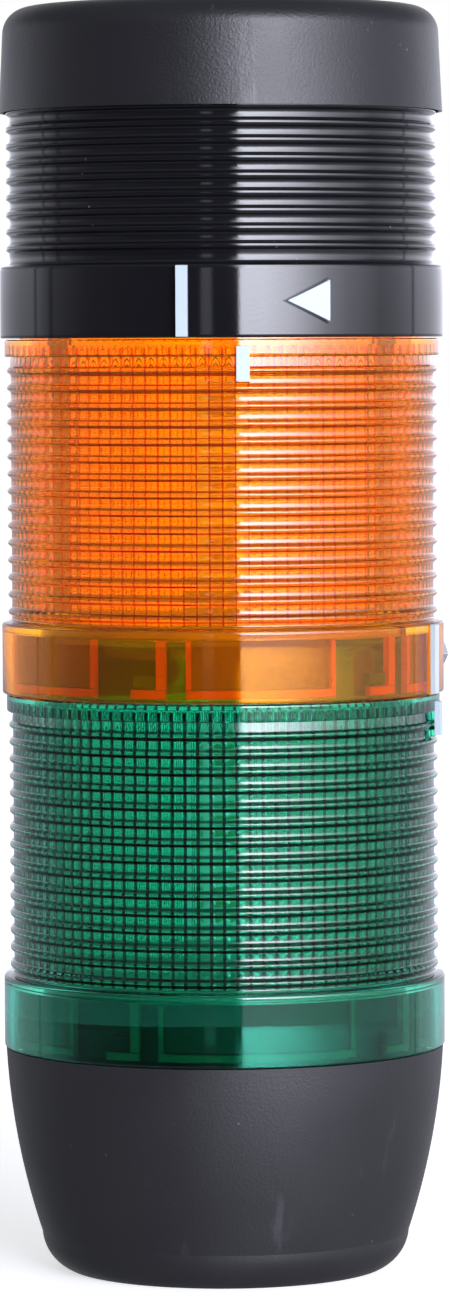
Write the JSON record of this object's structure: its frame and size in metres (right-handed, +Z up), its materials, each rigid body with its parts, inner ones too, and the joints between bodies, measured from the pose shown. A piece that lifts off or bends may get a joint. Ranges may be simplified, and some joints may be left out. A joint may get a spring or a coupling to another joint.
{
  "type": "stack light",
  "caption": "Round stack light on a bowl-shaped base: ribbed green and orange lens modules, a ribbed black sounder module and a cap, joined by twist-lock rings.",
  "frame": {"origin": "centre of the flat underside of the base, on the column's axis", "axes": "+Z up along the column, -Y towards the front, where the sounder's line mark and arrow are seen"},
  "size_m": [0.0711, 0.0718, 0.1995],
  "materials": {
    "base_plastic": "matte",
    "board_green": "satin",
    "board_white": "satin",
    "cap_plastic": "matte",
    "chip_plastic": "gloss",
    "contact_brass": "satin",
    "gasket_rubber": "matte",
    "green_lens_plastic": "gloss",
    "inner_plastic": "satin",
    "orange_lens_plastic": "gloss",
    "part_black": "satin",
    "screw_steel": "satin",
    "sounder_plastic": "gloss",
    "terminal_plastic": "satin"
  },
  "bodies": {
    "base": {"base_contact_spring_1": "contact_brass", "base_contact_spring_2": "contact_brass", "base_contact_spring_3": "contact_brass", "base_contact_spring_4": "contact_brass", "base_gasket": "gasket_rubber", "base_housing": "base_plastic", "plate_screws": "screw_steel", "terminal_block": "terminal_plastic", "terminal_plate": "inner_plastic", "terminal_screws": "screw_steel"},
    "green_module": {"green_contact_strip_1": "contact_brass", "green_contact_strip_2": "contact_brass", "green_contact_strip_3": "contact_brass", "green_contact_strip_4": "contact_brass", "green_lamp_board": "board_white", "green_lamp_carrier": "inner_plastic", "green_lamp_chips": "chip_plastic", "green_lens": "green_lens_plastic"},
    "orange_module": {"orange_contact_strip_1": "contact_brass", "orange_contact_strip_2": "contact_brass", "orange_contact_strip_3": "contact_brass", "orange_contact_strip_4": "contact_brass", "orange_lamp_board": "board_white", "orange_lamp_carrier": "inner_plastic", "orange_lamp_chips": "chip_plastic", "orange_lens": "orange_lens_plastic"},
    "sounder_module": {"piezo_disc": "contact_brass", "resonator_ring": "part_black", "sounder_board": "board_green", "sounder_board_parts": "part_black", "sounder_carrier": "inner_plastic", "sounder_contact_strip_1": "contact_brass", "sounder_contact_strip_2": "contact_brass", "sounder_contact_strip_3": "contact_brass", "sounder_contact_strip_4": "contact_brass", "sounder_housing": "sounder_plastic"},
    "cap": {"cap": "cap_plastic"}
  },
  "joints": [
    {"name": "green_module_twist", "type": "hinge", "parent": "base", "child": "green_module", "pos_m": [0, 0, 0.0355], "axis": [0, 0, 1], "range_deg": [0, 10]},
    {"name": "orange_module_twist", "type": "hinge", "parent": "green_module", "child": "orange_module", "pos_m": [0, 0, 0.0915], "axis": [0, 0, 1], "range_deg": [0, 10]},
    {"name": "sounder_module_twist", "type": "hinge", "parent": "orange_module", "child": "sounder_module", "pos_m": [0, 0, 0.1475], "axis": [0, 0, 1], "range_deg": [0, 10]},
    {"name": "cap_twist", "type": "hinge", "parent": "sounder_module", "child": "cap", "pos_m": [0, 0, 0.1842], "axis": [0, 0, 1], "range_deg": [0, 10]}
  ]
}
